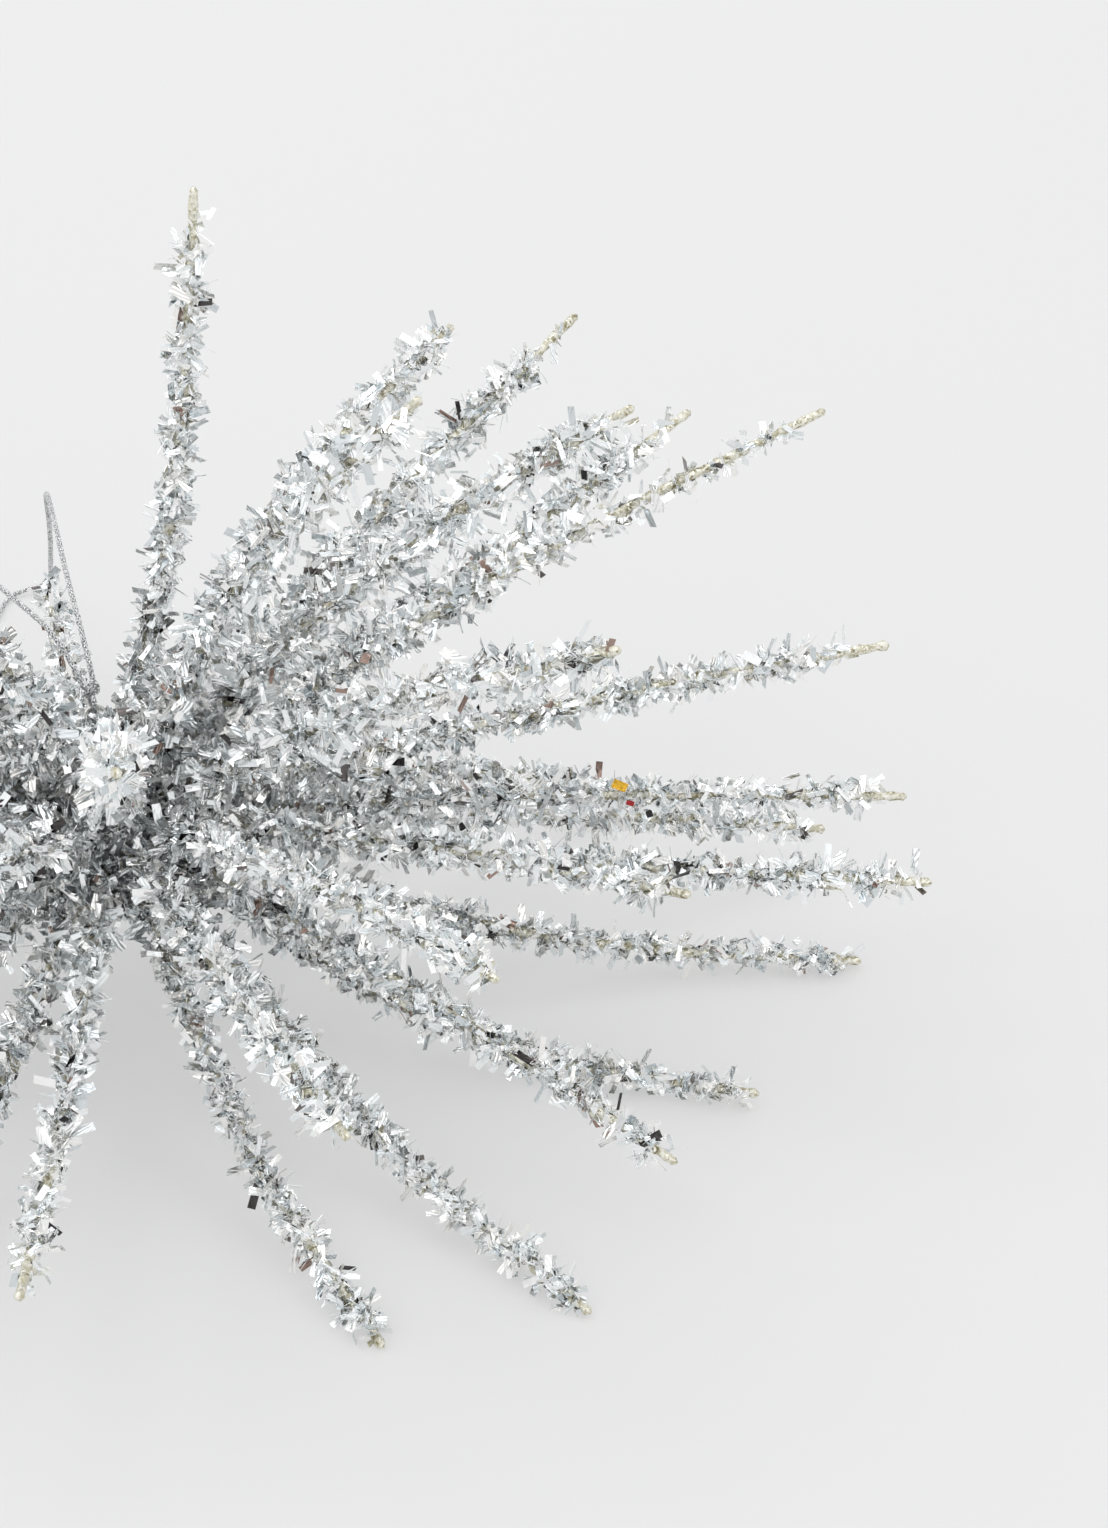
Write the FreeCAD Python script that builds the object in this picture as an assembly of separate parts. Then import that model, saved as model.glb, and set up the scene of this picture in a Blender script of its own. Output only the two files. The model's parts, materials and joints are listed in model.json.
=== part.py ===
import FreeCAD, Part
import math
import os

# Foil starburst ornament: a small core ball, and wire stems covered in chopped
# foil that radiate from it.  The lowest stems splay out and stand on the floor.
# A metallic cord loop is tied to an eye in the core.
#
# Millimetres, +Z up.  The origin is on the floor, under the middle of the object.

# ---- core ball ----
core_radius = 10.0
core_height = 28.0          # centre of the ball above the floor

# ---- wires ----
wire_radius = 0.5
wire_insert = 3.6           # how far the wire's inner end sits below the ball's surface
socket_gap = 0.12           # between the wire's end and its socket
socket_overrun = 1.0        # how far the cut for a socket runs past the ball's surface
straight_root = 30.0        # each stem is straight up to here, from the ball's centre
straight_tip = 16.0         # and straight again over its last stretch
swing_deg = 6.0             # how far a stem is bent either way at its root
swing_margin_deg = 3.0      # extra flare of the sockets

# ---- foil sleeves ----
foil_clearance = 1.3        # from the ball's surface to the start of the foil
foil_root_radius = 1.15
foil_radius = 2.3
foil_tip_radius = 1.3
glue_gap = 0.05             # between the wire and the sleeve around it
hole_overrun = 1.0          # how far the cut for the wire runs past the sleeve's start

# ---- eye, tie and knot of the hanging cord ----
eye_azimuth = 108.0
eye_elevation = 50.0
eye_wire_radius = 0.35
eye_inner_radius = 0.9
eye_standing = 1.0          # straight legs above the ball's surface
eye_insert = 3.0            # straight legs below it
eye_gap = 0.03              # round each leg in its hole
cord_radius = 0.25
tie_radius = 1.0            # middle of the turn of cord through the eye
tie_play = 0.02             # between that turn and the eye
knot_radius = 1.1
knot_overlap = 0.3          # how far the knot closes over the tie
arc_share = 0.45            # of the shorter run at a corner of the cord, taken by its arc

# Route of the cord loop: from the knot over the back of the ornament to the floor,
# and back to the knot.  Both raised stretches are given from the knot's centre.
rise_from_knot = [
    (0.4, 0.5, 0.4),
    (-0.7, 3.8, 3.9),
    (-3.0, 12.2, 6.2),
    (-5.8, 26.2, 6.4),
    (-8.4, 43.2, -0.4),
    (-9.7, 58.2, -16.5),
]
floor_run = [
    (-13.9, 77.0, 11.6),
    (-14.6, 82.8, 6.0),
    (-15.4, 88.2, 1.2),
    (-20.6, 87.0, 0.4),
    (-21.6, 81.4, 0.4),
    (-23.6, 74.5, 0.5),
    (-27.0, 67.5, 2.5),
    (-29.5, 59.0, 9.5),
]
return_from_knot = [
    (-24.6, 39.5, -15.0),
    (-19.2, 28.5, -2.0),
    (-13.8, 18.4, 4.0),
    (-8.5, 10.6, 4.4),
    (-3.5, 4.4, 3.9),
    (-0.7, 0.2, 0.2),
]

# ---- layout of the stems ----
height_samples = 60         # places along a stem where its height is looked at
standing_rounds = 8         # times that a standing stem's tip is set down on the floor

# ---- stems that stand on the floor ----
# azimuth, length, bend, bulge, bare tip
# Angles are in degrees.  Azimuth is counted from +X towards +Y, and length runs
# along the stem from the ball's centre to its tip.  Bend is the stem's whole turn.
# Bulge is the side it bows out to: 0 up, 90 towards a larger azimuth, 180 down.
standing_stems = [
    (6, 90, 22, 165, 3),
    (37, 77, 14, 30, 4),
    (57, 65, 18, 180, 4),
    (80, 86, 20, 180, 4),
    (127, 86, 22, 180, 5),
    (150, 82, 20, 180, 3),
    (171, 88, 24, 175, 4),
    (-164, 84, 20, 185, 4),
    (-139, 80, 22, 180, 6),
    (-112, 78, 22, 185, 4),
    (-62, 72, 20, 200, 3),
    (-45, 80, 18, 190, 3),
    (-13, 80, 30, 190, 3),
]

# ---- stems that stand clear of the floor ----
# azimuth, elevation, length, bend, bulge, bare tip
free_stems = [
    # low
    (20, -15, 89, 5, 0, 3),
    (8, -4, 90, 4, 0, 4),
    (-8, 0, 91, 4, 180, 3),
    (-31, -15, 75, 5, 0, 3),
    (-24, 8, 70, 6, 0, 3),
    (-93, -1, 81, 12, 180, 9),
    (101, -12, 75, 14, 180, 3),
    (148, 3, 84, 12, 180, 4),
    (168, -3, 91, 8, 0, 5),
    (-174, 4, 90, 12, 0, 3),
    (-150, 0, 88, 14, 0, 4),
    (-126, 2, 84, 12, 180, 4),
    # middle
    (3, 13, 88, 5, 0, 8),
    (18, 24, 91, 8, 0, 9),
    (42, 11, 89, 4, 180, 8),
    (47, 23, 82, 6, 0, 8),
    (62, 16, 82, 18, 20, 3),
    (131, 12, 84, 14, 0, 5),
    (151, 22, 86, 12, 0, 4),
    (172, 20, 88, 12, 0, 6),
    (-163, 22, 84, 14, 0, 4),
    (-133, 20, 88, 14, 0, 5),
    (-107, 20, 84, 14, 0, 4),
    (-70, 12, 86, 8, 180, 3),
    (-58, 20, 87, 6, 30, 3),
    # high
    (-38, 36, 87, 8, 0, 3),
    (-18, 47, 88, 12, 0, 4),
    (-41, 57, 87, 14, 0, 5),
    (-84, 38, 88, 12, 0, 3),
    (32, 80, 77, 14, -90, 6),
    (149, 41, 84, 14, 0, 5),
    (180, 38, 86, 12, 0, 4),
    (-170, 55, 84, 10, 0, 5),
    (-140, 45, 86, 14, 0, 5),
    (-112, 52, 86, 12, 0, 4),
]


# ---------------------------------------------------------------- directions

def direction(azimuth_deg, elevation_deg):
    """The unit vector that points at an azimuth and an elevation."""
    azimuth = math.radians(azimuth_deg)
    elevation = math.radians(elevation_deg)
    flat = math.cos(elevation)
    return FreeCAD.Vector(
        flat * math.cos(azimuth), flat * math.sin(azimuth), math.sin(elevation)
    )


def upward(azimuth_deg, elevation_deg):
    """The unit vector that points up, square to the direction."""
    return direction(azimuth_deg, elevation_deg + 90.0)


def sideways(azimuth_deg):
    """The level unit vector towards a larger azimuth."""
    return direction(azimuth_deg + 90.0, 0.0)


core_centre = FreeCAD.Vector(0.0, 0.0, core_height)
foil_start = core_radius + foil_clearance
pivot_distance = core_radius - wire_insert


class Stem:
    """One stem's centreline: a straight root, one circular bend and a straight tip."""

    def __init__(self, azimuth, elevation, length, bend, bulge, bare):
        self.length, self.bare = length, bare
        self.turn = math.radians(bend)
        self.arc_length = length - straight_root - straight_tip
        self.radius = self.arc_length / self.turn
        along, across = self.far_end_in_its_plane()
        self.lead = math.atan2(across, along)
        self.chord = math.hypot(along, across)
        self.aim(azimuth, elevation, bulge)

    def far_end_in_its_plane(self):
        """The tip, along and across the root's own direction."""
        along = straight_root + self.radius * math.sin(self.turn)
        along += straight_tip * math.cos(self.turn)
        across = self.radius * (1.0 - math.cos(self.turn))
        across += straight_tip * math.sin(self.turn)
        return along, across

    def aim(self, azimuth, elevation, bulge):
        """Turns the stem so that its tip lies at the azimuth and elevation."""
        roll = math.radians(bulge)
        chord_way = direction(azimuth, elevation)
        side = upward(azimuth, elevation) * math.cos(roll)
        side += sideways(azimuth) * math.sin(roll)
        self.root_way = chord_way * math.cos(self.lead) + side * math.sin(self.lead)
        self.inward = chord_way * math.sin(self.lead) - side * math.cos(self.lead)
        self.hinge_axis = upward(azimuth, elevation)

    def way_at(self, turned):
        """The stem's direction once it has turned by an angle."""
        return self.root_way * math.cos(turned) + self.inward * math.sin(turned)

    def point_at(self, distance):
        """The point on the centreline at a distance along it from the ball's centre."""
        bent = min(max(distance - straight_root, 0.0), self.arc_length) / self.radius
        point = core_centre + self.root_way * min(distance, straight_root)
        point += self.root_way * (self.radius * math.sin(bent))
        point += self.inward * (self.radius * (1.0 - math.cos(bent)))
        rest = max(distance - straight_root - self.arc_length, 0.0)
        return point + self.way_at(self.turn) * rest

    def bend_end(self):
        return straight_root + self.arc_length

    def foil_end(self):
        return self.length - self.bare

    def thickness_at(self, distance):
        """The outer radius at a distance along the stem."""
        if distance > self.foil_end():
            return wire_radius
        if distance > self.bend_end():
            share = (distance - self.bend_end()) / (self.foil_end() - self.bend_end())
            return foil_radius + share * (foil_tip_radius - foil_radius)
        share = min((distance - foil_start) / (straight_root - foil_start), 1.0)
        return foil_root_radius + share * (foil_radius - foil_root_radius)

    def lowest(self):
        """The height of the stem's lowest point, looked for from its bend outwards."""
        heights = []
        for step in range(height_samples + 1):
            share = step / height_samples
            distance = straight_root + (self.length - straight_root) * share
            turned = min(distance - straight_root, self.arc_length) / self.radius
            level = math.sqrt(1.0 - self.way_at(turned).z ** 2)
            heights.append(self.point_at(distance).z - level * self.thickness_at(distance))
        return min(heights)


def standing_stem(azimuth, length, bend, bulge, bare):
    """A stem whose tip rests on the floor."""
    stem = Stem(azimuth, 0.0, length, bend, bulge, bare)
    drop = core_height
    for _ in range(standing_rounds):
        elevation = -math.degrees(math.asin(drop / stem.chord))
        stem = Stem(azimuth, elevation, length, bend, bulge, bare)
        drop += stem.lowest()
    return stem


stems = [standing_stem(*row) for row in standing_stems]
stems += [Stem(*row) for row in free_stems]

# ---- end of the layout ----


# -------------------------------------------------------------------- solids

def disc(centre, normal, radius):
    """A flat round face."""
    edge = Part.makeCircle(radius, centre, normal)
    return Part.Face(Part.Wire(edge))


def bent_round(stem, radius):
    """The round bar over a stem's bend."""
    start = stem.point_at(straight_root)
    axis_point = start + stem.inward * stem.radius
    axis = stem.root_way.cross(stem.inward)
    return disc(start, stem.root_way, radius).revolve(
        axis_point, axis, math.degrees(stem.turn)
    )


def round_bar(stem, radius, start, end):
    """A bar of one radius that follows a stem between two distances."""
    root = Part.makeCylinder(
        radius, straight_root - start, stem.point_at(start), stem.root_way
    )
    tip = Part.makeCylinder(
        radius, end - stem.bend_end(), stem.point_at(stem.bend_end()), stem.way_at(stem.turn)
    )
    return root.fuse([bent_round(stem, radius), tip])


def wire(stem):
    """The wire, from its rounded end in the ball to its tip."""
    end_ball = Part.makeSphere(wire_radius, stem.point_at(pivot_distance))
    bar = round_bar(stem, wire_radius, pivot_distance, stem.length)
    return bar.fuse(end_ball).removeSplitter()


def sleeve(stem):
    """The coat of foil, which widens along the root and narrows at the tip."""
    root = Part.makeCone(
        foil_root_radius,
        foil_radius,
        straight_root - foil_start,
        stem.point_at(foil_start),
        stem.root_way,
    )
    tip = Part.makeCone(
        foil_radius,
        foil_tip_radius,
        stem.foil_end() - stem.bend_end(),
        stem.point_at(stem.bend_end()),
        stem.way_at(stem.turn),
    )
    coat = root.fuse([bent_round(stem, foil_radius), tip])
    hole_start = foil_start - hole_overrun
    hole = round_bar(stem, wire_radius + glue_gap, hole_start, stem.length)
    return coat.cut(hole).removeSplitter()


def socket(stem):
    """The flared hole that a wire is set in, wide enough for its swing."""
    pivot = stem.point_at(pivot_distance)
    bottom = wire_radius + socket_gap
    depth = wire_insert + socket_overrun
    flare = math.tan(math.radians(swing_deg + swing_margin_deg))
    mouth = Part.makeCone(bottom, bottom + depth * flare, depth, pivot, stem.root_way)
    return Part.makeSphere(bottom, pivot).fuse(mouth)


eye_way = direction(eye_azimuth, eye_elevation)
eye_side = sideways(eye_azimuth)


def on_eye_line(distance):
    """The point on the eye's middle line at a distance from the ball's centre."""
    return core_centre + eye_way * distance


def eye(radius):
    """The U-shaped staple that the cord is tied to."""
    across = eye_inner_radius + eye_wire_radius
    foot = core_radius - eye_insert
    shoulder = core_radius + eye_standing
    straight = shoulder - foot
    bow_centre = on_eye_line(shoulder)
    legs = []
    for side in (-1.0, 1.0):
        leg_foot = on_eye_line(foot) + eye_side * (side * across)
        legs.append(Part.makeCylinder(radius, straight, leg_foot, eye_way))
    start = bow_centre + eye_side * across
    bow = disc(start, eye_way, radius).revolve(bow_centre, eye_way.cross(-eye_side), 180.0)
    return legs[0].fuse([legs[1], bow]).removeSplitter()


def tie_distance():
    """How far the middle of the tie is from the ball's centre."""
    bar = core_radius + eye_standing + eye_inner_radius + eye_wire_radius
    return bar + tie_radius - cord_radius - eye_wire_radius - tie_play


def tie():
    """The turn of cord through the eye."""
    return Part.makeTorus(tie_radius, cord_radius, on_eye_line(tie_distance()), eye_side)


def knot_centre():
    """The middle of the knot, which closes a little over the tie."""
    return on_eye_line(tie_distance() + tie_radius + knot_radius - knot_overlap)


def knot():
    """The knot that closes the tie."""
    return Part.makeSphere(knot_radius, knot_centre())


def core_ball():
    """The ball, with a socket for every stem and two holes for the eye."""
    ball = Part.makeSphere(core_radius, core_centre)
    return ball.cut([socket(stem) for stem in stems] + [eye(eye_wire_radius + eye_gap)])


def cord_route():
    """The corners of the cord's route."""
    rise = [knot_centre() + FreeCAD.Vector(*point) for point in rise_from_knot]
    floor = [FreeCAD.Vector(*point) for point in floor_run]
    back = [knot_centre() + FreeCAD.Vector(*point) for point in return_from_knot]
    return rise + floor + back


def cord_path(corners):
    """Straight runs joined by tangent arcs, and the arcs' radii."""
    edges, radii = [], []
    last = corners[0]
    for before, corner, after in zip(corners, corners[1:], corners[2:]):
        arrive, leave = corner - before, after - corner
        shorter = min(arrive.Length, leave.Length)
        arrive.normalize()
        leave.normalize()
        half_turn = math.acos(max(-1.0, min(1.0, arrive.dot(leave)))) / 2.0
        setback = arc_share * shorter
        radius = setback / math.tan(half_turn)
        first, final = corner - arrive * setback, corner + leave * setback
        bisector = leave - arrive
        bisector.normalize()
        middle = corner + bisector * (radius / math.cos(half_turn) - radius)
        edges.append(Part.LineSegment(last, first).toShape())
        edges.append(Part.Arc(first, middle, final).toShape())
        radii.append(radius)
        last = final
    edges.append(Part.LineSegment(last, corners[-1]).toShape())
    return Part.Wire(edges), radii


def hanging_cord():
    """The cord loop, as a tube along its route."""
    corners = cord_route()
    path, radii = cord_path(corners)
    section = Part.Wire(Part.makeCircle(cord_radius, corners[0], corners[1] - corners[0]))
    tube = path.makePipeShell([section], True, False)
    plain_volume = math.pi * cord_radius**2 * path.Length
    print("cord length", round(path.Length, 1), "mm, radii", [round(r, 1) for r in radii])
    print("cord volume share", round(tube.Volume / plain_volume, 4))
    return tube


def save(shape, node):
    shape.exportStep("parts/" + node + ".step")
    print(node, shape.isValid(), len(shape.Solids), round(shape.Volume, 2))


os.makedirs("parts", exist_ok=True)
save(core_ball(), "core_ball")
save(eye(eye_wire_radius), "hanging_eye")
save(tie(), "cord_tie")
save(knot(), "cord_knot")
save(hanging_cord(), "hanging_cord")
for number, stem in enumerate(stems, 1):
    node = "stem_%02d" % number
    save(Part.Compound([wire(stem), sleeve(stem)]), node)
    print(node, "hinge at", stem.point_at(pivot_distance), "axis", stem.hinge_axis)
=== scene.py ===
import json
import math

import bmesh
import bpy
import numpy as np
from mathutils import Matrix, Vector


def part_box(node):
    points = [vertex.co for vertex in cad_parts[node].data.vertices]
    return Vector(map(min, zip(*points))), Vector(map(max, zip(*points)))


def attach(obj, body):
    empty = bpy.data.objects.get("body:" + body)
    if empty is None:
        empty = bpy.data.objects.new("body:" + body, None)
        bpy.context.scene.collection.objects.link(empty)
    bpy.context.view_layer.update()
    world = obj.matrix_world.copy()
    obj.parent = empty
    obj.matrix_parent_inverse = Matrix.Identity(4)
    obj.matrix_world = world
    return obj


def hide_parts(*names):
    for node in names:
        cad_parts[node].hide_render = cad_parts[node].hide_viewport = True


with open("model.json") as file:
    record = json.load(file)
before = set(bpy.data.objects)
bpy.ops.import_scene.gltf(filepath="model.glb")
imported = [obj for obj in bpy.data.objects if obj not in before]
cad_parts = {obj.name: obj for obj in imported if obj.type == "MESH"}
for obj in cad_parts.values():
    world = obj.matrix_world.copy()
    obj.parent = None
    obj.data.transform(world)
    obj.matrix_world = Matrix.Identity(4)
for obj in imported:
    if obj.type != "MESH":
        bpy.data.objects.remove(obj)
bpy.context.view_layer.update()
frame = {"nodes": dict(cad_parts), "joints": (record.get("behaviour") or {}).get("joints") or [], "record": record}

# Foil starburst ornament: a ball with wire stems that are coated in glue and covered
# in chopped silver foil.  Metres throughout; MM turns millimetres into metres.

MM = 0.001

# ---- camera ----
CAMERA_ELEVATION = 35.0       # degrees above the floor
CAMERA_DISTANCE = 600.0 * MM
AIM_RIGHT = 48.8 * MM         # where the camera looks, from the ball's centre
AIM_UP = 5.7 * MM
LENS = 127.2                  # on a 36 mm sensor along the picture's long side

# ---- cord ----
CORD_DIAMETER = 0.5 * MM
# The route's corners in millimetres; both raised stretches are from the knot's centre.
RISE_FROM_KNOT = [
    (0.4, 0.5, 0.4),
    (-0.7, 3.8, 3.9),
    (-3.0, 12.2, 6.2),
    (-5.8, 26.2, 6.4),
    (-8.4, 43.2, -0.4),
    (-9.7, 58.2, -16.5),
]
FLOOR_RUN = [
    (-13.9, 77.0, 11.6),
    (-14.6, 82.8, 6.0),
    (-15.4, 88.2, 1.2),
    (-20.6, 87.0, 0.4),
    (-21.6, 81.4, 0.4),
    (-23.6, 74.5, 0.5),
    (-27.0, 67.5, 2.5),
    (-29.5, 59.0, 9.5),
]
RETURN_FROM_KNOT = [
    (-24.6, 39.5, -15.0),
    (-19.2, 28.5, -2.0),
    (-13.8, 18.4, 4.0),
    (-8.5, 10.6, 4.4),
    (-3.5, 4.4, 3.9),
    (-0.7, 0.2, 0.2),
]
BRAID_STRANDS = 4             # that turn each way
BRAID_PITCH = 3.0 * MM        # of one turn
BRAID_STEP = 0.12 * MM
BRAID_STRAND_RADIUS = 0.1 * MM
BRAID_WAVE = 0.04 * MM        # how far a strand goes over and under the others
BRAID_LOFT = 0.09 * MM        # how far the slack braid stands out past the tight cord
STRAND_SIDES = 5
TIE_POINTS = 60
KNOT_POINTS = 240
KNOT_DEPTH = 1.6              # of the knot's over and under, beside its flat part
KNOT_INSET = 0.4              # of the cord's diameter, inside the CAD knot's surface

# ---- stems ----
SEED = 20
STEP = 0.4 * MM               # along a stem
WIRE_RADIUS = 0.5 * MM
WIRE_SIDES = 12
RING_GAP = 0.7 * MM           # a CAD wire's rings of points are farther apart than this
BEND_POINTS = 60              # of a wire's line where it bends
GLUE_START = 5.2 * MM         # from the stem's pivot; the wire is bare inside its socket
GLUE_FADE = 1.0 * MM          # over which the glue reaches its full relief
GLUE_RELIEF = 0.13 * MM
RELIEF_LIMITS = (-0.9, 1.4)
GLUE_LOBES = (1, 2, 3, 4)     # how many swellings go round the wire, in each layer of relief
LOBE_WAVE = 1.3 * MM          # along the wire, between swellings
LOBE_DRIFT_WAVE = 5.0 * MM    # over which they wander round the wire
LOBE_DRIFT = 3.0              # radians that they wander
LOBE_PARTS = 2.2              # divides the sum of the layers
BEAD_WAVE = 2.2 * MM          # between beads that go all round the wire
BEAD_SHARE = 0.6
NOISE_WAVES = 5
NOISE_FULL = 3.2              # brings the sum of the waves to between about -1 and 1

# ---- foil ----
FLAKES_PER_MM = 19
CORE_FLAKES = 5200
CORE_OUTWARD = (0.25, 1.0)    # how far the ball's chips point outward
CORE_SIDEWAYS = (0.0, 1.1)    # and sideways
BALL_CLEARANCE = 0.5 * MM     # between the ball and the chips on the stems
ROOT_POINTS = 20              # of a stem's line that the ball's own chips keep away from
ROOT_CLEARANCE = 1.25 * MM    # from the middle of the wire, which swings
TILES = 8                     # the foil's tones and painted dark reflections, in a square of TILES by TILES
PAINTED_DARK_REFLECTION_TILES = 6                # the first tiles, which hold painted dark reflections
ORANGE_TILE = 6
RED_TILE = 7
STRAY_TILES = 8               # how many tiles are not silver
SPARSE_STEMS = ("stem_27",)   # their foil thins out past the middle
STRAY_CHIPS = [               # a stem, a share of it, a way off it, length and width in mm, tile
    ("stem_15", 0.605, (0.0, -1.4, 2.3), (1.7, 1.1), ORANGE_TILE),
    ("stem_15", 0.620, (0.0, -2.3, 0.5), (0.9, 0.6), RED_TILE),
]
FULL_STEMS = ("stem_28", "stem_29", "stem_30", "stem_39", "stem_40", "stem_41", "stem_42")
FULL_WIDTH = 1.5              # how much wider their foil is, up to their last quarter
FULL_DENSITY = 1.2            # and how much thicker it lies
ROOT_WIDTH = 1.4              # how much wider all foil is beside the ball
ROOT_LENGTH = 17 * MM
FOIL_WAVE = 9.0 * MM          # between thick and thin places
FOIL_MEAN = 0.9
FOIL_VARIES = 0.26
THINNING = (1.5, 0.9)         # the foil at a stem's root, and how much less at its end
THINNING_LIMITS = (0.75, 1.3)
SPARSE_THINNING = (2.6, 3.0)  # the same on the sparse stems, on top of that
SPARSE_LIMITS = (0.4, 1.0)
FOIL_LIMITS = (0.06, 1.5)
PAINTED_DARK_REFLECTION_SHARE = 0.02             # of the chips, which get a painted dark reflection
FLAKE_THICKNESS = 0.035 * MM
WHOLE_LENGTH = (1.4, 2.3)     # the chips' least and greatest sizes, in mm
WHOLE_WIDTH = (0.5, 0.8)
SHORT_LENGTH = (0.7, 1.2)
LARGE_LENGTH = (2.1, 2.8)
LARGE_WIDTH = (0.75, 1.0)
HAIR_LENGTH = (1.8, 3.0)
HAIR_WIDTH = (0.08, 0.16)
SHORT_BELOW = 0.25            # a chip whose draw is below this is short
LARGE_ABOVE = 0.78            # above this it is large
HAIR_ABOVE = 0.965            # and above this a hair
TWIST = 0.13                  # radians from one end of a chip to the other
CHIP_LEAN = 1.5               # how far the outermost chips point outward, at most
CHIP_SPREAD = [0.0, 0.4, 0.85, 1.0]      # shares of the chips, from the innermost out
CHIP_REACH = [0.45, 0.75, 1.35, 1.9]     # how far these are from the wire's middle, in mm
TIP_REACH = 0.6               # how far the last few chips go along the bare tip
TIP_DENSITY = 0.22

# ---- floor and light ----
FLOOR_GAP = 0.05 * MM         # under the wires and chips that reach the floor
FLOOR_HALF = 6.0              # half the floor's width in metres
FLOOR_GLOW = 0.435            # light from within the floor, which keeps its shadows pale
HORIZON = (0.84, 0.84, 0.84, 1.0)
SKY_RISE = 6.0                # how sharply the bright and dark patches start above the horizon
SKY_START = -1.6
KEY_PLACE = (-0.55, 0.15, 1.05)
KEY_SIZE = 1.0
KEY_POWER = 4.0
FILL_PLACE = (0.9, -0.5, 0.9)
FILL_SIZE = 0.6
FILL_POWER = 1.0


# ------------------------------------------------------------------ camera

hub_low, hub_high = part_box("core_ball")
hub = (hub_low + hub_high) / 2
hub_radius = (hub_high.x - hub_low.x) / 2

tilt = math.radians(CAMERA_ELEVATION)
picture_up = Vector((0, math.sin(tilt), math.cos(tilt)))
to_camera = Vector((0, -math.cos(tilt), math.sin(tilt)))
aim = hub + Vector((AIM_RIGHT, 0, 0)) + picture_up * AIM_UP
camera_data = bpy.data.cameras.new("camera")
camera_data.lens = LENS
camera_data.sensor_width = 36.0
camera_data.clip_start = 0.01
camera_data.clip_end = 50.0
camera = bpy.data.objects.new("camera", camera_data)
camera.location = aim + to_camera * CAMERA_DISTANCE
camera.rotation_mode = "QUATERNION"
camera.rotation_quaternion = (-to_camera).to_track_quat("-Z", "Y")
bpy.context.scene.collection.objects.link(camera)
bpy.context.scene.camera = camera


# ------------------------------------------------------------- mesh helpers

def add_object(name, data):
    piece = bpy.data.objects.new(name, data)
    bpy.context.scene.collection.objects.link(piece)
    return piece


def mesh_object(name, points, faces, uv=None, smooth=False):
    """A mesh object.  uv holds one pair for each corner of each face."""
    mesh = bpy.data.meshes.new(name)
    mesh.from_pydata(np.asarray(points).tolist(), [], [list(f) for f in faces])
    if uv is not None:
        layer = mesh.uv_layers.new(name="OFBake")
        layer.data.foreach_set("uv", np.asarray(uv, np.float32).ravel())
    mesh.polygons.foreach_set("use_smooth", [smooth] * len(mesh.polygons))
    mesh.update()
    return add_object(name, mesh)


def unit(vectors):
    return vectors / np.linalg.norm(vectors, axis=-1, keepdims=True)


def square_to(ways, rng):
    """A random unit vector square to each of the ways."""
    other = unit(rng.normal(size=ways.shape))
    return unit(np.cross(ways, other))


def carried_frames(points):
    """Tangents along a line, and two square directions carried along it without twist."""
    tangents = unit(np.gradient(points, axis=0))
    first = np.cross(tangents[0], (0.0, 0.0, 1.0))
    if np.linalg.norm(first) < 0.1:
        first = np.cross(tangents[0], (1.0, 0.0, 0.0))
    normals = [unit(first)]
    for tangent in tangents[1:]:
        moved = normals[-1] - tangent * np.dot(tangent, normals[-1])
        normals.append(unit(moved))
    normals = np.array(normals)
    return tangents, normals, np.cross(tangents, normals)


def tube_faces(rings, sides, start=0):
    """Quads and end caps of a tube whose rings of points follow each other."""
    faces = []
    for ring in range(rings - 1):
        a = start + ring * sides
        b = a + sides
        for side in range(sides):
            other = (side + 1) % sides
            faces.append((a + side, a + other, b + other, b + side))
    faces.append(tuple(start + side for side in reversed(range(sides))))
    faces.append(tuple(start + (rings - 1) * sides + side for side in range(sides)))
    return faces


def tube_points(points, normals, sideways, radii, sides):
    """Rings of points round a line.  radii is one number, or one for each point."""
    angles = np.arange(sides) * 2 * math.pi / sides
    radii = np.broadcast_to(np.asarray(radii, float), (len(points), sides))
    around = normals[:, None] * np.cos(angles)[None, :, None]
    around = around + sideways[:, None] * np.sin(angles)[None, :, None]
    return (points[:, None] + around * radii[:, :, None]).reshape(-1, 3)


def resampled(points, step):
    """The same line with points at an even step."""
    lengths = np.linalg.norm(np.diff(points, axis=0), axis=1)
    distance = np.concatenate([[0.0], np.cumsum(lengths)])
    wanted = np.linspace(0.0, distance[-1], int(round(distance[-1] / step)) + 1)
    line = np.stack([np.interp(wanted, distance, points[:, i]) for i in range(3)], axis=1)
    return line, wanted


# ----------------------------------------------------------- material helpers

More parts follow.
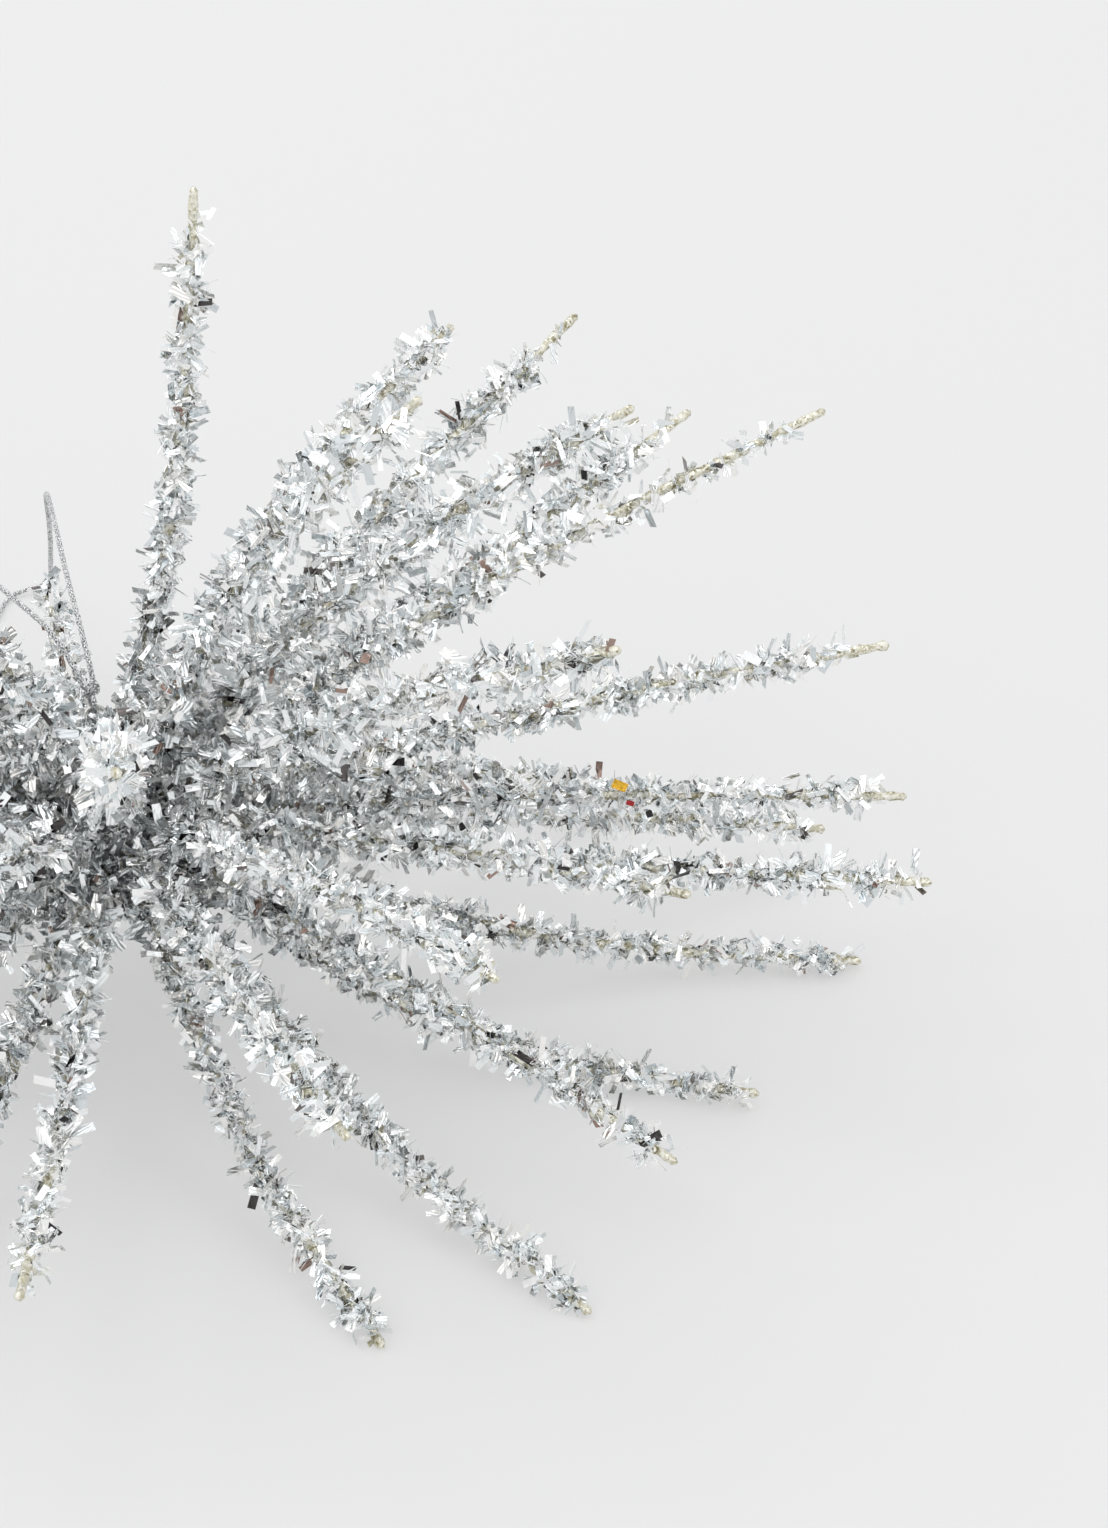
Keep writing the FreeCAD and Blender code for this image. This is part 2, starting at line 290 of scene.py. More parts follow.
class Nodes:
    """Short ways to add and join nodes."""

    def __init__(self, tree):
        self.tree = tree
        tree.nodes.clear()

    def add(self, kind, inputs=None, **settings):
        node = self.tree.nodes.new(kind)
        for key, value in settings.items():
            setattr(node, key, value)
        for key, value in (inputs or {}).items():
            self.put(node.inputs[key], value)
        return node

    def put(self, socket, value):
        if isinstance(value, bpy.types.NodeSocket):
            self.tree.links.new(value, socket)
        else:
            socket.default_value = value

    def math(self, operation, a, b=0.0, c=0.0, clamp=False):
        node = self.add("ShaderNodeMath", operation=operation, use_clamp=clamp)
        for socket, value in zip(node.inputs, (a, b, c)):
            self.put(socket, value)
        return node.outputs[0]

    def ramp(self, factor, stops, mode="LINEAR"):
        node = self.add("ShaderNodeValToRGB", {"Fac": factor})
        node.color_ramp.interpolation = mode
        elements = node.color_ramp.elements
        while len(elements) < len(stops):
            elements.new(1.0)
        for element, (place, colour) in zip(elements, stops):
            element.position = place
            element.color = (*colour, 1.0)
        return node.outputs["Color"]

    def mix(self, factor, a, b):
        node = self.add("ShaderNodeMix", data_type="RGBA")
        self.put(node.inputs["Factor"], factor)
        self.put(node.inputs["A"], a)
        self.put(node.inputs["B"], b)
        return node.outputs["Result"]

    def bump(self, height, strength, distance):
        node = self.add(
            "ShaderNodeBump",
            {"Height": height, "Strength": strength, "Distance": distance},
        )
        return node.outputs["Normal"]


def new_material(name):
    material = bpy.data.materials.new(name)
    material.use_nodes = True
    nodes = Nodes(material.node_tree)
    shader = nodes.add("ShaderNodeBsdfPrincipled")
    out = nodes.add("ShaderNodeOutputMaterial")
    nodes.put(out.inputs["Surface"], shader.outputs["BSDF"])
    return material, nodes, shader


# The foil's tones, each from its first tile on; the first six tiles are painted dark reflections.
FOIL_TONES_AND_PAINTED_REFLECTIONS = [
    # painted dark reflections, black and warm brown, in place of silver foil that reflects dark surroundings
    (0, (0.06, 0.055, 0.055)),
    (2, (0.20, 0.18, 0.175)),
    (4, (0.36, 0.26, 0.22)),
    (ORANGE_TILE, (0.86, 0.50, 0.06)),
    (RED_TILE, (0.50, 0.06, 0.06)),
    (STRAY_TILES, (0.74, 0.78, 0.80)),
    (14, (0.86, 0.89, 0.90)),
    (22, (0.93, 0.95, 0.955)),
    (40, (0.97, 0.96, 0.94)),
    (48, (0.99, 0.99, 0.985)),
]


def foil_material(name, tones_and_reflections):
    material, nodes, shader = new_material(name)
    place = nodes.add("ShaderNodeUVMap", uv_map="OFBake").outputs["UV"]
    scaled = nodes.add(
        "ShaderNodeVectorMath",
        {0: place, 1: (TILES, TILES, 1.0)},
        operation="MULTIPLY",
    ).outputs[0]
    tile = nodes.add("ShaderNodeVectorMath", {0: scaled}, operation="FLOOR").outputs[0]
    inside = nodes.add("ShaderNodeVectorMath", {0: scaled}, operation="FRACTION").outputs[0]
    chance = nodes.add("ShaderNodeTexWhiteNoise", {"Vector": tile}, noise_dimensions="3D")
    parts = nodes.add("ShaderNodeSeparateColor", {"Color": chance.outputs["Color"]})
    tile_place = nodes.add("ShaderNodeSeparateXYZ", {"Vector": tile})
    number = nodes.math("MULTIPLY_ADD", tile_place.outputs["Y"], TILES, tile_place.outputs["X"])
    rank = nodes.math("MULTIPLY_ADD", number, 1 / TILES**2, 0.5 / TILES**2)
    stops = [(first / TILES**2, colour) for first, colour in tones_and_reflections]
    tone = nodes.ramp(rank, stops, "CONSTANT")
    # painted shade: darker cloudy bands that stand in for the light and shade on crumpled foil
    shifted = nodes.add(
        "ShaderNodeVectorMath",
        {0: inside, 1: chance.outputs["Color"]},
        operation="ADD",
    ).outputs[0]
    cloud = nodes.add(
        "ShaderNodeTexNoise", {"Vector": shifted, "Scale": 2.6, "Detail": 3.0}
    ).outputs["Fac"]
    # painted shade in the chips' colour, from the cloudy bands
    painted_crumple_shade = nodes.math("MULTIPLY_ADD", cloud, 0.3, 0.85, clamp=True)
    colour = nodes.add(
        "ShaderNodeVectorMath", {0: tone, 1: painted_crumple_shade}, operation="MULTIPLY"
    ).outputs[0]
    crease = nodes.add(
        "ShaderNodeTexWave",
        {"Vector": shifted, "Scale": 1.3, "Distortion": 5.0, "Detail": 2.0},
        bands_direction="DIAGONAL",
    ).outputs["Fac"]
    nodes.put(shader.inputs["Base Color"], colour)
    shader.inputs["Metallic"].default_value = 1.0
    nodes.put(
        shader.inputs["Roughness"],
        nodes.math("MULTIPLY_ADD", parts.outputs["Green"], 0.24, 0.07),
    )
    nodes.put(shader.inputs["Normal"], nodes.bump(crease, 0.16, 0.0002))
    return material


def glue_material():
    """Clear glue over wire with fine glitter in it."""
    material, nodes, shader = new_material("glue")
    place = nodes.add("ShaderNodeTexCoord").outputs["Object"]
    cloud = nodes.add(
        "ShaderNodeTexNoise", {"Vector": place, "Scale": 1500.0, "Detail": 5.0}
    ).outputs["Fac"]
    grain = nodes.add("ShaderNodeTexVoronoi", {"Vector": place, "Scale": 3800.0})
    sparkle = nodes.add("ShaderNodeSeparateColor", {"Color": grain.outputs["Color"]})
    base = nodes.ramp(
        cloud,
        [
            (0.34, (0.22, 0.19, 0.10)),
            (0.44, (0.48, 0.45, 0.31)),
            (0.54, (0.68, 0.65, 0.52)),
            (0.66, (0.90, 0.88, 0.80)),
        ],
    )
    glint = nodes.math("GREATER_THAN", sparkle.outputs["Red"], 0.62)
    nodes.put(
        shader.inputs["Base Color"], nodes.mix(glint, base, (0.86, 0.84, 0.74, 1.0))
    )
    nodes.put(shader.inputs["Metallic"], nodes.math("MULTIPLY", glint, 0.9))
    nodes.put(
        shader.inputs["Roughness"], nodes.math("MULTIPLY_ADD", cloud, 0.35, 0.12)
    )
    rough = nodes.math("MULTIPLY_ADD", grain.outputs["Distance"], 0.6, cloud)
    nodes.put(shader.inputs["Normal"], nodes.bump(rough, 0.8, 0.00015))
    return material


def core_material():
    """Grey foam that shows between the foil."""
    material, nodes, shader = new_material("core_foam")
    place = nodes.add("ShaderNodeTexCoord").outputs["Object"]
    cloud = nodes.add(
        "ShaderNodeTexNoise", {"Vector": place, "Scale": 420.0, "Detail": 5.0}
    ).outputs["Fac"]
    beads = nodes.add("ShaderNodeTexVoronoi", {"Vector": place, "Scale": 900.0})
    tone = nodes.ramp(
        cloud, [(0.3, (0.10, 0.11, 0.12)), (0.55, (0.30, 0.32, 0.33)), (0.8, (0.52, 0.54, 0.55))]
    )
    nodes.put(shader.inputs["Base Color"], tone)
    nodes.put(shader.inputs["Metallic"], nodes.math("MULTIPLY_ADD", cloud, 0.9, 0.1, clamp=True))
    nodes.put(
        shader.inputs["Roughness"],
        nodes.math("MULTIPLY_ADD", beads.outputs["Distance"], 0.5, 0.25, clamp=True),
    )
    nodes.put(
        shader.inputs["Normal"], nodes.bump(beads.outputs["Distance"], 0.7, 0.0004)
    )
    return material


def steel_material():
    """Bright drawn wire, with fine lines along it and dull spots."""
    material, nodes, shader = new_material("steel_wire")
    place = nodes.add("ShaderNodeTexCoord").outputs["Object"]
    stretched = nodes.add(
        "ShaderNodeVectorMath", {0: place, 1: (1.0, 1.0, 0.15)}, operation="MULTIPLY"
    ).outputs[0]
    lines = nodes.add(
        "ShaderNodeTexNoise", {"Vector": stretched, "Scale": 6000.0, "Detail": 3.0}
    ).outputs["Fac"]
    spots = nodes.add(
        "ShaderNodeTexNoise", {"Vector": place, "Scale": 1200.0, "Detail": 4.0}
    ).outputs["Fac"]
    nodes.put(
        shader.inputs["Base Color"],
        nodes.ramp(spots, [(0.3, (0.42, 0.41, 0.39)), (0.6, (0.66, 0.66, 0.65))]),
    )
    shader.inputs["Metallic"].default_value = 1.0
    nodes.put(shader.inputs["Roughness"], nodes.math("MULTIPLY_ADD", spots, 0.4, 0.1))
    nodes.put(shader.inputs["Normal"], nodes.bump(lines, 0.4, 0.00005))
    return material


def thread_material():
    """Metallic thread: bright flat strips with darker gaps."""
    material, nodes, shader = new_material("silver_thread")
    place = nodes.add("ShaderNodeTexCoord").outputs["Object"]
    grain = nodes.add(
        "ShaderNodeTexNoise", {"Vector": place, "Scale": 5200.0, "Detail": 3.0}
    ).outputs["Fac"]
    glints = nodes.add("ShaderNodeTexVoronoi", {"Vector": place, "Scale": 2600.0})
    nodes.put(
        shader.inputs["Base Color"],
        nodes.ramp(
            grain, [(0.35, (0.22, 0.23, 0.24)), (0.5, (0.62, 0.63, 0.64)), (0.6, (0.98, 0.98, 0.97))]
        ),
    )
    shader.inputs["Metallic"].default_value = 0.7
    nodes.put(
        shader.inputs["Roughness"],
        nodes.math("MULTIPLY_ADD", glints.outputs["Distance"], 0.4, 0.16, clamp=True),
    )
    nodes.put(shader.inputs["Normal"], nodes.bump(grain, 0.5, 0.00006))
    return material


foil = foil_material("silver_foil", FOIL_TONES_AND_PAINTED_REFLECTIONS)
glue = glue_material()
core_foam = core_material()
steel = steel_material()
thread = thread_material()


# -------------------------------------------------------------------- cord

def centreline(curve_object):
    """The points of the curve's own line."""
    bpy.context.view_layer.update()
    line = bpy.data.meshes.new_from_object(curve_object)
    points = np.array([v.co for v in line.vertices], float)
    bpy.data.meshes.remove(line)
    return points


def nurbs_line(points):
    data = bpy.data.curves.new("cord_line", "CURVE")
    data.dimensions = "3D"
    spline = data.splines.new("NURBS")
    spline.points.add(len(points) - 1)
    for place, point in zip(spline.points, points):
        place.co = (*point, 1.0)
    spline.order_u = 3
    spline.use_endpoint_u = True
    spline.resolution_u = 16
    return add_object("cord_line", data)


def braid(name, line):
    """Strands that cross over and under each other round a line."""
    points, distance = resampled(line, BRAID_STEP)
    _, normals, sideways = carried_frames(points)
    turns = distance / BRAID_PITCH * 2 * math.pi
    middle = CORD_DIAMETER / 2 - BRAID_STRAND_RADIUS - BRAID_WAVE + BRAID_LOFT
    all_points, faces = [], []
    for way in (1.0, -1.0):
        for strand in range(BRAID_STRANDS):
            angle = way * turns + strand * 2 * math.pi / BRAID_STRANDS
            wave = np.cos(BRAID_STRANDS * turns + math.pi * strand) * way
            reach = middle + BRAID_WAVE * wave
            outward = normals * np.cos(angle)[:, None] + sideways * np.sin(angle)[:, None]
            middle_line = points + outward * reach[:, None]
            _, across, other = carried_frames(middle_line)
            start = sum(len(p) for p in all_points)
            all_points.append(
                tube_points(middle_line, across, other, BRAID_STRAND_RADIUS, STRAND_SIDES)
            )
            faces += tube_faces(len(points), STRAND_SIDES, start)
    piece = mesh_object(name, np.concatenate(all_points), faces, smooth=True)
    piece.data.materials.append(thread)
    return piece


def cord_corners():
    """The corners of the cord's route, in metres."""
    low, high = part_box("cord_knot")
    knot_centre = (low + high) / 2
    rise = [knot_centre + Vector(point) * MM for point in RISE_FROM_KNOT]
    floor_points = [Vector(point) * MM for point in FLOOR_RUN]
    back = [knot_centre + Vector(point) * MM for point in RETURN_FROM_KNOT]
    return rise + floor_points + back


cord_curve = nurbs_line(cord_corners())
cord_line = centreline(cord_curve)
bpy.data.objects.remove(cord_curve)
cord = braid("cord_braid", cord_line)
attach(cord, "core")
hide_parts("hanging_cord")


def box_middle(node):
    """The middle and the three sides of a CAD node's box."""
    low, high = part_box(node)
    return np.array((low + high) / 2), np.array(high - low)


def tie_ring():
    """The turn of cord through the eye, in the plane that its CAD ring lies in."""
    middle, _ = box_middle("cord_tie")
    knot_middle, _ = box_middle("cord_knot")
    outward = unit(knot_middle - middle)
    level = unit(np.cross(outward, (0.0, 0.0, 1.0)))
    upright = np.cross(level, outward)
    ring_points = np.array([v.co for v in frame["nodes"]["cord_tie"].data.vertices], float)
    radius = np.linalg.norm(ring_points - middle, axis=1).max() - CORD_DIAMETER / 2
    angles = np.linspace(0, 2 * math.pi, TIE_POINTS)
    ring = outward[None] * np.cos(angles)[:, None] + upright[None] * np.sin(angles)[:, None]
    return middle + ring * radius


tie = braid("cord_tie_braid", tie_ring())
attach(tie, "core")
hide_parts("cord_tie")


def knot_line():
    """A closed overhand knot inside the CAD knot's ball."""
    middle, size = box_middle("cord_knot")
    angle = np.linspace(0, 2 * math.pi, KNOT_POINTS)
    line = np.stack(
        [
            np.sin(angle) + 2 * np.sin(2 * angle),
            np.cos(angle) - 2 * np.cos(2 * angle),
            -KNOT_DEPTH * np.sin(3 * angle),
        ],
        axis=1,
    )
    reach = np.linalg.norm(line, axis=1).max()
    return middle + line * ((size.min() / 2 - CORD_DIAMETER * KNOT_INSET) / reach)


knot = braid("cord_knot_braid", knot_line())
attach(knot, "core")
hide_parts("cord_knot")


# ------------------------------------------------------------------- flakes

def flake_mesh(name, base, way, face, length, width, twist, tile):
    """Thin closed plates with a little twist from one end to the other.

    base is one end of each plate, way its long direction and face the way it faces.
    """
    across = np.cross(face, way)
    points = np.zeros((len(base), 2, 2, 2, 3))
    uv = np.zeros((len(base), 2, 2, 2, 2))
    corner = np.stack([tile % TILES, tile // TILES], axis=1).astype(float)
    for end in range(2):
        turn = (twist * (end - 0.5))[:, None]
        edge_way = across * np.cos(turn) + face * np.sin(turn)
        facing = face * np.cos(turn) - across * np.sin(turn)
        middle = base + way * (length[:, None] * end)
        for side in range(2):
            edge = middle + edge_way * (width[:, None] * (side - 0.5))
            for layer in range(2):
                place = edge + facing * (FLAKE_THICKNESS * (0.5 - layer))
                floor_height = FLOOR_GAP + FLAKE_THICKNESS * (1 - layer)
                place[:, 2] = np.maximum(place[:, 2], floor_height)
                points[:, end, side, layer] = place
                inner = np.array([0.1 + 0.8 * end, 0.1 + 0.8 * side])
                uv[:, end, side, layer] = (corner + inner) / TILES
    pattern = np.array(
        [
            (0, 2, 3, 1),
            (5, 7, 6, 4),
            (0, 4, 6, 2),
            (3, 7, 5, 1),
            (1, 5, 4, 0),
            (2, 6, 7, 3),
        ]
    )
    starts = np.arange(len(base))[:, None, None] * 8
    faces = (pattern[None] + starts).reshape(-1, 4)
    flat_uv = uv.reshape(-1, 2)
    return mesh_object(name, points.reshape(-1, 3), faces, uv=flat_uv[faces])


def flake_sizes(count, rng):
    """Lengths, widths and twists.  Most are whole chips, some short or large, a few are hairs."""
    length = rng.uniform(*WHOLE_LENGTH, count) * MM
    width = rng.uniform(*WHOLE_WIDTH, count) * MM
    kind = rng.random(count)
    short = kind < SHORT_BELOW
    length[short] = rng.uniform(*SHORT_LENGTH, short.sum()) * MM
    large = (kind > LARGE_ABOVE) & (kind < HAIR_ABOVE)
    length[large] = rng.uniform(*LARGE_LENGTH, large.sum()) * MM
    width[large] = rng.uniform(*LARGE_WIDTH, large.sum()) * MM
    hair = kind > HAIR_ABOVE
    length[hair] = rng.uniform(*HAIR_LENGTH, hair.sum()) * MM
    width[hair] = rng.uniform(*HAIR_WIDTH, hair.sum()) * MM
    twist = rng.normal(0.0, TWIST, count)
    return length, width, twist


def flake_tiles(count, rng):
    """The tile of each chip: a silver tone, with a few from the dark and warm tiles, which are painted dark
    reflections.
    """
    tile = rng.integers(STRAY_TILES, TILES * TILES, count)
    # a few chips get a painted dark reflection
    dark = rng.random(count) < PAINTED_DARK_REFLECTION_SHARE
    tile[dark] = rng.integers(0, PAINTED_DARK_REFLECTION_TILES, dark.sum())
    return tile


# -------------------------------------------------------------------- stems

def loose_parts(mesh):
    """The welded points of each separate solid in a mesh."""
    work = bmesh.new()
    work.from_mesh(mesh)
    bmesh.ops.remove_doubles(work, verts=work.verts, dist=1e-6)
    work.verts.ensure_lookup_table()
    seen, parts = set(), []
    for vertex in work.verts:
        if vertex.index in seen:
            continue
        seen.add(vertex.index)
        waiting, part = [vertex], []
        while waiting:
            current = waiting.pop()
            part.append(tuple(current.co))
            for edge in current.link_edges:
                other = edge.other_vert(current)
                if other.index not in seen:
                    seen.add(other.index)
                    waiting.append(other)
        parts.append(np.array(part))
    work.free()
    return parts


def rings_from(points, pivot):
    """The middles of the rings of points, in order of their distance from the pivot."""
    distance = np.linalg.norm(points - pivot, axis=1)
    order = np.argsort(distance)
    points, distance = points[order], distance[order]
    breaks = np.nonzero(np.diff(distance) > RING_GAP)[0] + 1
    return [group.mean(axis=0) for group in np.split(points, breaks)]


def bent_line(start, start_way, end, end_way):
    """A smooth bend between two straight runs."""
    turn = math.acos(max(-1.0, min(1.0, float(np.dot(start_way, end_way)))))
    chord = np.linalg.norm(end - start)
    radius = chord / (2 * math.sin(turn / 2))
    reach = 4 / 3 * math.tan(turn / 4) * radius
    a, b = start + start_way * reach, end - end_way * reach
    t = np.linspace(0, 1, BEND_POINTS)[:, None]
    return (
        start * (1 - t) ** 3 + 3 * a * t * (1 - t) ** 2 + 3 * b * t**2 * (1 - t) + end * t**3
    )


def stem_line(node, pivot):
    """A stem's middle line from its pivot to its tip, and where its foil starts and ends."""
    parts = loose_parts(frame["nodes"][node].data)
    parts.sort(key=lambda part: np.linalg.norm(part - pivot, axis=1).min())
    wire_part, foil_part = parts[0], parts[-1]
    rings = rings_from(wire_part, pivot)
    bend_start, bend_end, tip = rings[1], rings[-2], rings[-1]
    root_way, tip_way = unit(bend_start - pivot), unit(tip - bend_end)
    bend = bent_line(bend_start, root_way, bend_end, tip_way)
    line, distance = resampled(np.concatenate([[pivot], bend, [tip]]), STEP)
    apart = np.linalg.norm(foil_part[:, None] - line[None], axis=2)
    beside = distance[apart.argmin(axis=1)]
    return line, distance, beside.min(), beside.max()


def slow_noise(distance, rng, wavelength):
    """A smooth random wave between about -1 and 1."""
    total = np.zeros(len(distance))
    for _ in range(NOISE_WAVES):
        pitch = wavelength * rng.uniform(0.5, 1.8)
        total += np.sin(distance / pitch * 2 * math.pi + rng.uniform(0, 2 * math.pi))
    return total / NOISE_FULL


def glue_wire(node, line, distance, rng):
    """The wire with its lumpy coat of glue."""
    _, normals, sideways = carried_frames(line)
    angles = np.arange(WIRE_SIDES) * 2 * math.pi / WIRE_SIDES
    relief = np.zeros((len(line), WIRE_SIDES))
    for lobes in GLUE_LOBES:
        phase = slow_noise(distance, rng, LOBE_DRIFT_WAVE)[:, None] * LOBE_DRIFT
        size = slow_noise(distance, rng, LOBE_WAVE)[:, None]
        relief += size * np.sin(lobes * angles[None] + phase) / LOBE_PARTS
    relief += slow_noise(distance, rng, BEAD_WAVE)[:, None] * BEAD_SHARE
    coated = np.clip((distance - GLUE_START) / GLUE_FADE, 0.0, 1.0)[:, None]
    radii = WIRE_RADIUS + coated * GLUE_RELIEF * np.clip(relief, *RELIEF_LIMITS)
    rounded = np.clip((distance[-1] - distance) / WIRE_RADIUS, 0.05, 1.0)
    radii *= np.sqrt(1 - (1 - rounded) ** 2)[:, None]
    points = tube_points(line, normals, sideways, radii, WIRE_SIDES)
    points[:, 2] = np.maximum(points[:, 2], FLOOR_GAP)
    piece = mesh_object(
        node + "_wire", points, tube_faces(len(line), WIRE_SIDES), smooth=True
    )
    piece.data.materials.append(glue)
    return piece


def foil_density(node, run, foil_end, rng):
    """How thickly the foil lies at each place along a stem, where 1 is usual."""
    share = (run - run[0]) / (foil_end - run[0])
    density = FOIL_MEAN + FOIL_VARIES * slow_noise(run, rng, FOIL_WAVE)
    density *= np.clip(THINNING[0] - THINNING[1] * share, *THINNING_LIMITS)
    if node in FULL_STEMS:
        density *= FULL_DENSITY
    if node in SPARSE_STEMS:
        density *= np.clip(SPARSE_THINNING[0] - SPARSE_THINNING[1] * share, *SPARSE_LIMITS)
    density[run > foil_end] = TIP_DENSITY
    return np.clip(density, *FOIL_LIMITS)


def stem_foil(node, line, distance, foil_start, foil_end, rng):
    """The chips of foil on one stem."""
    last = foil_end + (distance[-1] - foil_end) * TIP_REACH
    inside = (distance >= foil_start) & (distance <= last)
    run = distance[inside]
    density = foil_density(node, run, foil_end, rng)
    total = np.cumsum(density)
    count = int(FLAKES_PER_MM * density.mean() * (run[-1] - run[0]) / MM)
    picks = np.interp(rng.random(count), total / total[-1], run)
    tangents, normals, sideways = carried_frames(line)

    def along(values):
        """The values of the stem's line at each chip's place."""
        return np.stack([np.interp(picks, distance, values[:, i]) for i in range(3)], axis=1)

    centre, tangent = along(line), unit(along(tangents))
    normal, side = unit(along(normals)), unit(along(sideways))
    angle = rng.uniform(0, 2 * math.pi, count)[:, None]
    outward = normal * np.cos(angle) + side * np.sin(angle)
    around = side * np.cos(angle) - normal * np.sin(angle)
    stand = rng.random(count)
    reach = np.interp(stand, CHIP_SPREAD, CHIP_REACH)
    reach *= np.interp(picks, [run[0], run[0] + ROOT_LENGTH], [ROOT_WIDTH, 1.0])
    if node in FULL_STEMS:
        quarter = run[-1] - 0.25 * (run[-1] - run[0])
        reach *= np.interp(picks, [quarter, run[-1]], [FULL_WIDTH, 1.0])
    way = unit(
        outward * (stand * rng.uniform(0.0, CHIP_LEAN, count))[:, None]
        + tangent * rng.uniform(-1.0, 1.0, count)[:, None]
        + around * rng.uniform(-1.0, 1.0, count)[:, None]
    )
    base = centre + outward * (reach[:, None] * MM)
    length, width, twist = flake_sizes(count, rng)
    # up to half of a chip's length goes back past its place on the wire
    base = base - way * (length * rng.uniform(0.0, 0.5, count))[:, None]
    face = square_to(way, rng)
    # chips whose far end would go below the floor are turned up
    low = base[:, 2] + way[:, 2] * length < FLOOR_GAP
    way[low, 2] *= -0.5
    way[low] = unit(way[low])
    face[low] = square_to(way[low], rng)
    tile = flake_tiles(count, rng)
    for stray_node, share, offset, stray_size, stray_tile in STRAY_CHIPS:
        if stray_node == node:
            target = line[int(share * (len(line) - 1))] + np.array(offset) * MM
            nearest = np.linalg.norm(base - target, axis=1).argmin()
            face[nearest] = unit(np.array(offset))
            way[nearest] = unit(np.cross(face[nearest], (0.3, 0.2, 1.0)))
            length[nearest], width[nearest] = np.array(stray_size) * MM
            base[nearest] = target - way[nearest] * length[nearest] / 2
            tile[nearest] = stray_tile
    # a chip is kept if both its ends are clear of the ball
    far = base + way * length[:, None]
    ball_middle = np.array(hub)
    ends_out = np.minimum(
        np.linalg.norm(base - ball_middle, axis=1), np.linalg.norm(far - ball_middle, axis=1)
    )
    kept = ends_out > hub_radius + BALL_CLEARANCE
    piece = flake_mesh(
        node + "_foil",
        *(values[kept] for values in (base, way, face, length, width, twist, tile)),
    )
    piece.data.materials.append(foil)
    return piece


# each stem's body and joint
stem_joints = {}
for joint in frame["joints"]:
    for body_node in frame["record"]["behaviour"]["bodies"][joint["child"]]:
        stem_joints[body_node] = (joint["child"], joint)

stem_lines = {}
for number, (node, (body, joint)) in enumerate(sorted(stem_joints.items())):
    pivot = np.array(joint["pos_m"], float)
    line, distance, foil_start, foil_end = stem_line(node, pivot)
    stem_lines[node] = line
    rng = np.random.default_rng(SEED + number)
    wire_piece = glue_wire(node, line, distance, rng)
    foil_piece = stem_foil(node, line, distance, foil_start, foil_end, rng)
    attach(wire_piece, body)
    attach(foil_piece, body)
    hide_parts(node)


# --------------------------------------------------------------------- core

def core_foil():
    """Chips of foil on the ball, clear of the stems that leave it."""
    rng = np.random.default_rng(SEED + 1000)
    outward = unit(rng.normal(size=(CORE_FLAKES, 3)))
    sideways = square_to(outward, rng)
    way = unit(
        outward * rng.uniform(*CORE_OUTWARD, CORE_FLAKES)[:, None]
        + sideways * rng.uniform(*CORE_SIDEWAYS, CORE_FLAKES)[:, None]
    )
    base = np.array(hub) + outward * hub_radius
    length, width, twist = flake_sizes(CORE_FLAKES, rng)
    face = square_to(way, rng)
    tile = flake_tiles(CORE_FLAKES, rng)
    roots = np.concatenate([line[:ROOT_POINTS] for line in stem_lines.values()])
    gap = np.full(CORE_FLAKES, np.inf)
    for share in (0.0, 0.5, 1.0):
        place = base + way * (length * share)[:, None]
        apart = np.linalg.norm(place[:, None] - roots[None], axis=2).min(axis=1)
        gap = np.minimum(gap, apart)
    kept = gap > ROOT_CLEARANCE
    piece = flake_mesh(
        "core_foil",
        *(values[kept] for values in (base, way, face, length, width, twist, tile)),
    )
    piece.data.materials.append(foil)
    return piece


core_piece = core_foil()
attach(core_piece, "core")


def finish_node(node, material):
    """A CAD node that stays as it is, with a better material."""
    data = frame["nodes"][node].data
    data.materials.clear()
    data.materials.append(material)


finish_node("core_ball", core_foam)
finish_node("hanging_eye", steel)


# ------------------------------------------------------- floor, world, lights

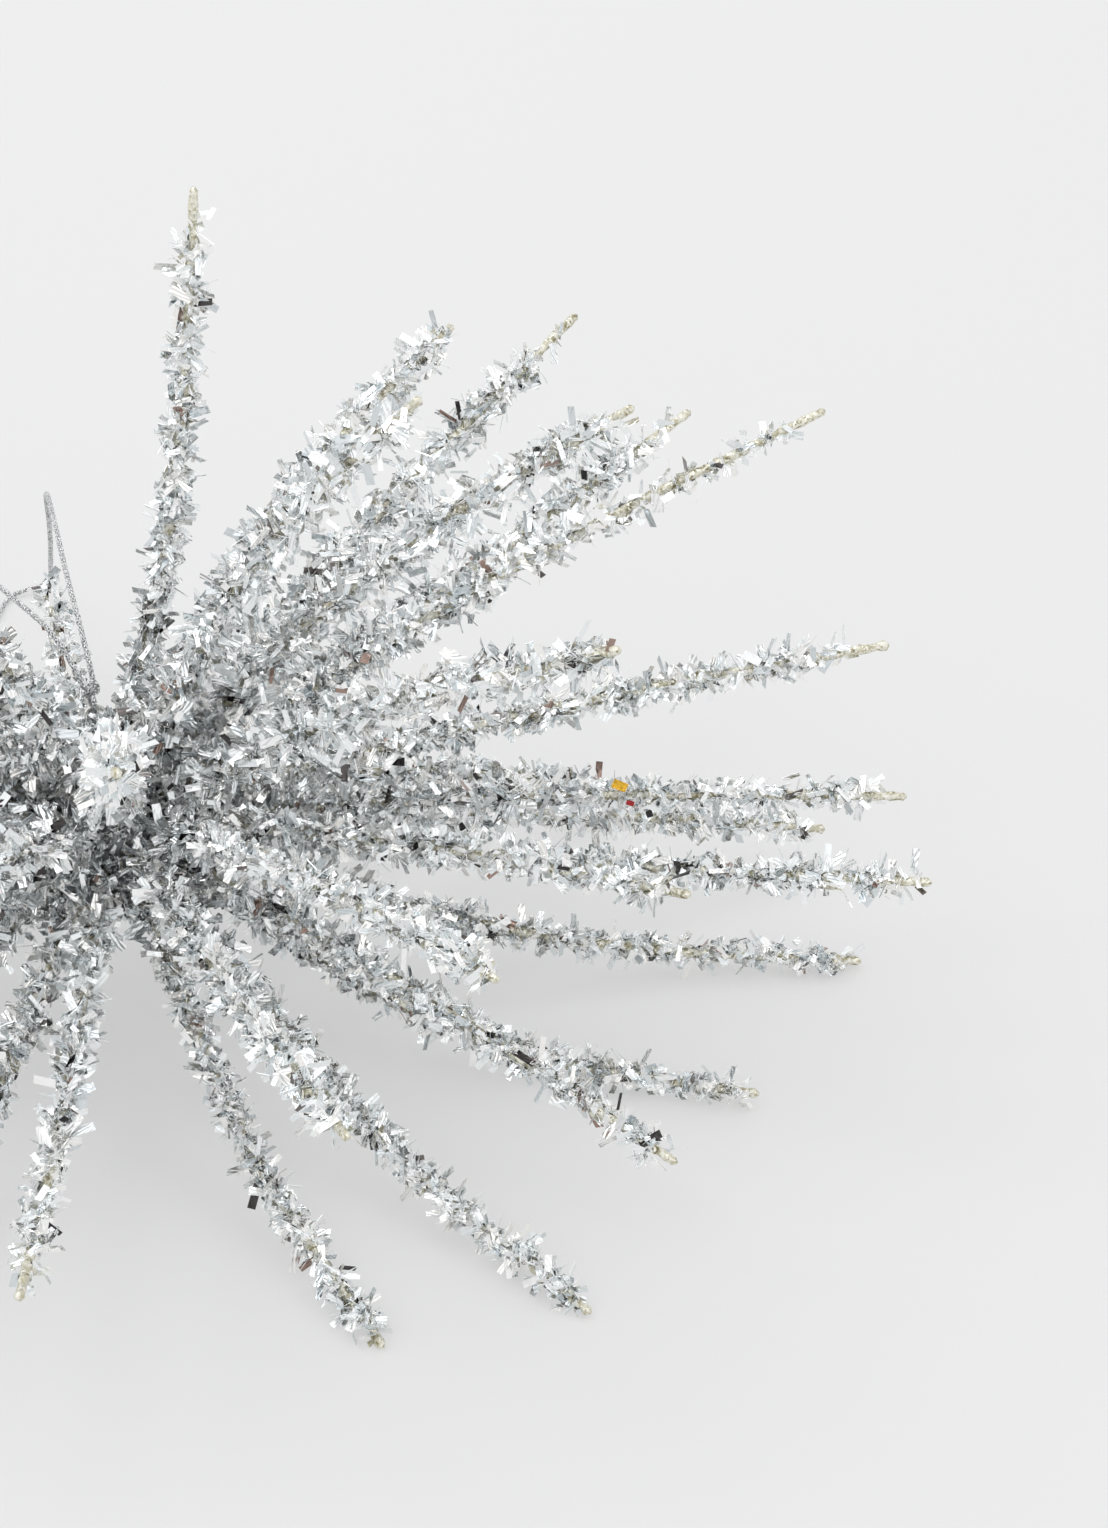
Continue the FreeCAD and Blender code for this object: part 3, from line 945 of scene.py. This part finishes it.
def floor_material():
    material, nodes, shader = new_material("floor")
    place = nodes.add("ShaderNodeTexCoord").outputs["Object"]
    cloud = nodes.add(
        "ShaderNodeTexNoise", {"Vector": place, "Scale": 3.0, "Detail": 2.0}
    ).outputs["Fac"]
    nodes.put(
        shader.inputs["Base Color"],
        nodes.ramp(cloud, [(0.3, (0.345, 0.345, 0.344)), (0.7, (0.352, 0.352, 0.351))]),
    )
    shader.inputs["Roughness"].default_value = 0.85
    shader.inputs["Specular IOR Level"].default_value = 0.2
    shader.inputs["Emission Color"].default_value = (1.0, 1.0, 0.998, 1.0)
    shader.inputs["Emission Strength"].default_value = FLOOR_GLOW
    return material


floor_mesh = bpy.data.meshes.new("floor")
floor_mesh.from_pydata(
    [(x * FLOOR_HALF, y * FLOOR_HALF, 0.0) for x, y in ((-1, -1), (1, -1), (1, 1), (-1, 1))],
    [],
    [(0, 1, 2, 3)],
)
floor_mesh.materials.append(floor_material())
floor = add_object("floor", floor_mesh)

world = bpy.data.worlds.new("studio")
bpy.context.scene.world = world
world.use_nodes = True
sky = Nodes(world.node_tree)
sky_way = sky.add("ShaderNodeTexCoord").outputs["Generated"]
sky_parts = sky.add("ShaderNodeSeparateXYZ", {"Vector": sky_way})
patches = sky.add(
    "ShaderNodeTexNoise", {"Vector": sky_way, "Scale": 2.6, "Detail": 1.0}
).outputs["Fac"]
room = sky.ramp(
    patches,
    [
        (0.32, (0.10, 0.098, 0.097)),
        (0.36, (0.55, 0.56, 0.57)),
        (0.45, (0.92, 0.93, 0.94)),
        (0.58, (1.25, 1.25, 1.25)),
    ],
)
above = sky.math("MULTIPLY_ADD", sky_parts.outputs["Z"], SKY_RISE, SKY_START, clamp=True)
sky_colour = sky.mix(above, HORIZON, room)
background = sky.add("ShaderNodeBackground", {"Color": sky_colour, "Strength": 1.0})
sky_out = sky.add("ShaderNodeOutputWorld")
sky.put(sky_out.inputs["Surface"], background.outputs["Background"])


def area_light(name, place, aim_at, size, power):
    """A square soft light that faces aim_at.  size is its side in metres."""
    data = bpy.data.lights.new(name, "AREA")
    data.shape = "SQUARE"
    data.size = size
    data.energy = power
    light = add_object(name, data)
    light.location = place
    light.rotation_mode = "QUATERNION"
    light.rotation_quaternion = (Vector(aim_at) - Vector(place)).to_track_quat("-Z", "Y")


area_light("key", KEY_PLACE, hub, KEY_SIZE, KEY_POWER)
area_light("fill", FILL_PLACE, hub, FILL_SIZE, FILL_POWER)

view = bpy.context.scene.view_settings
view.view_transform = "Standard"
view.look = "None"
view.exposure = 0.0
view.gamma = 1.0
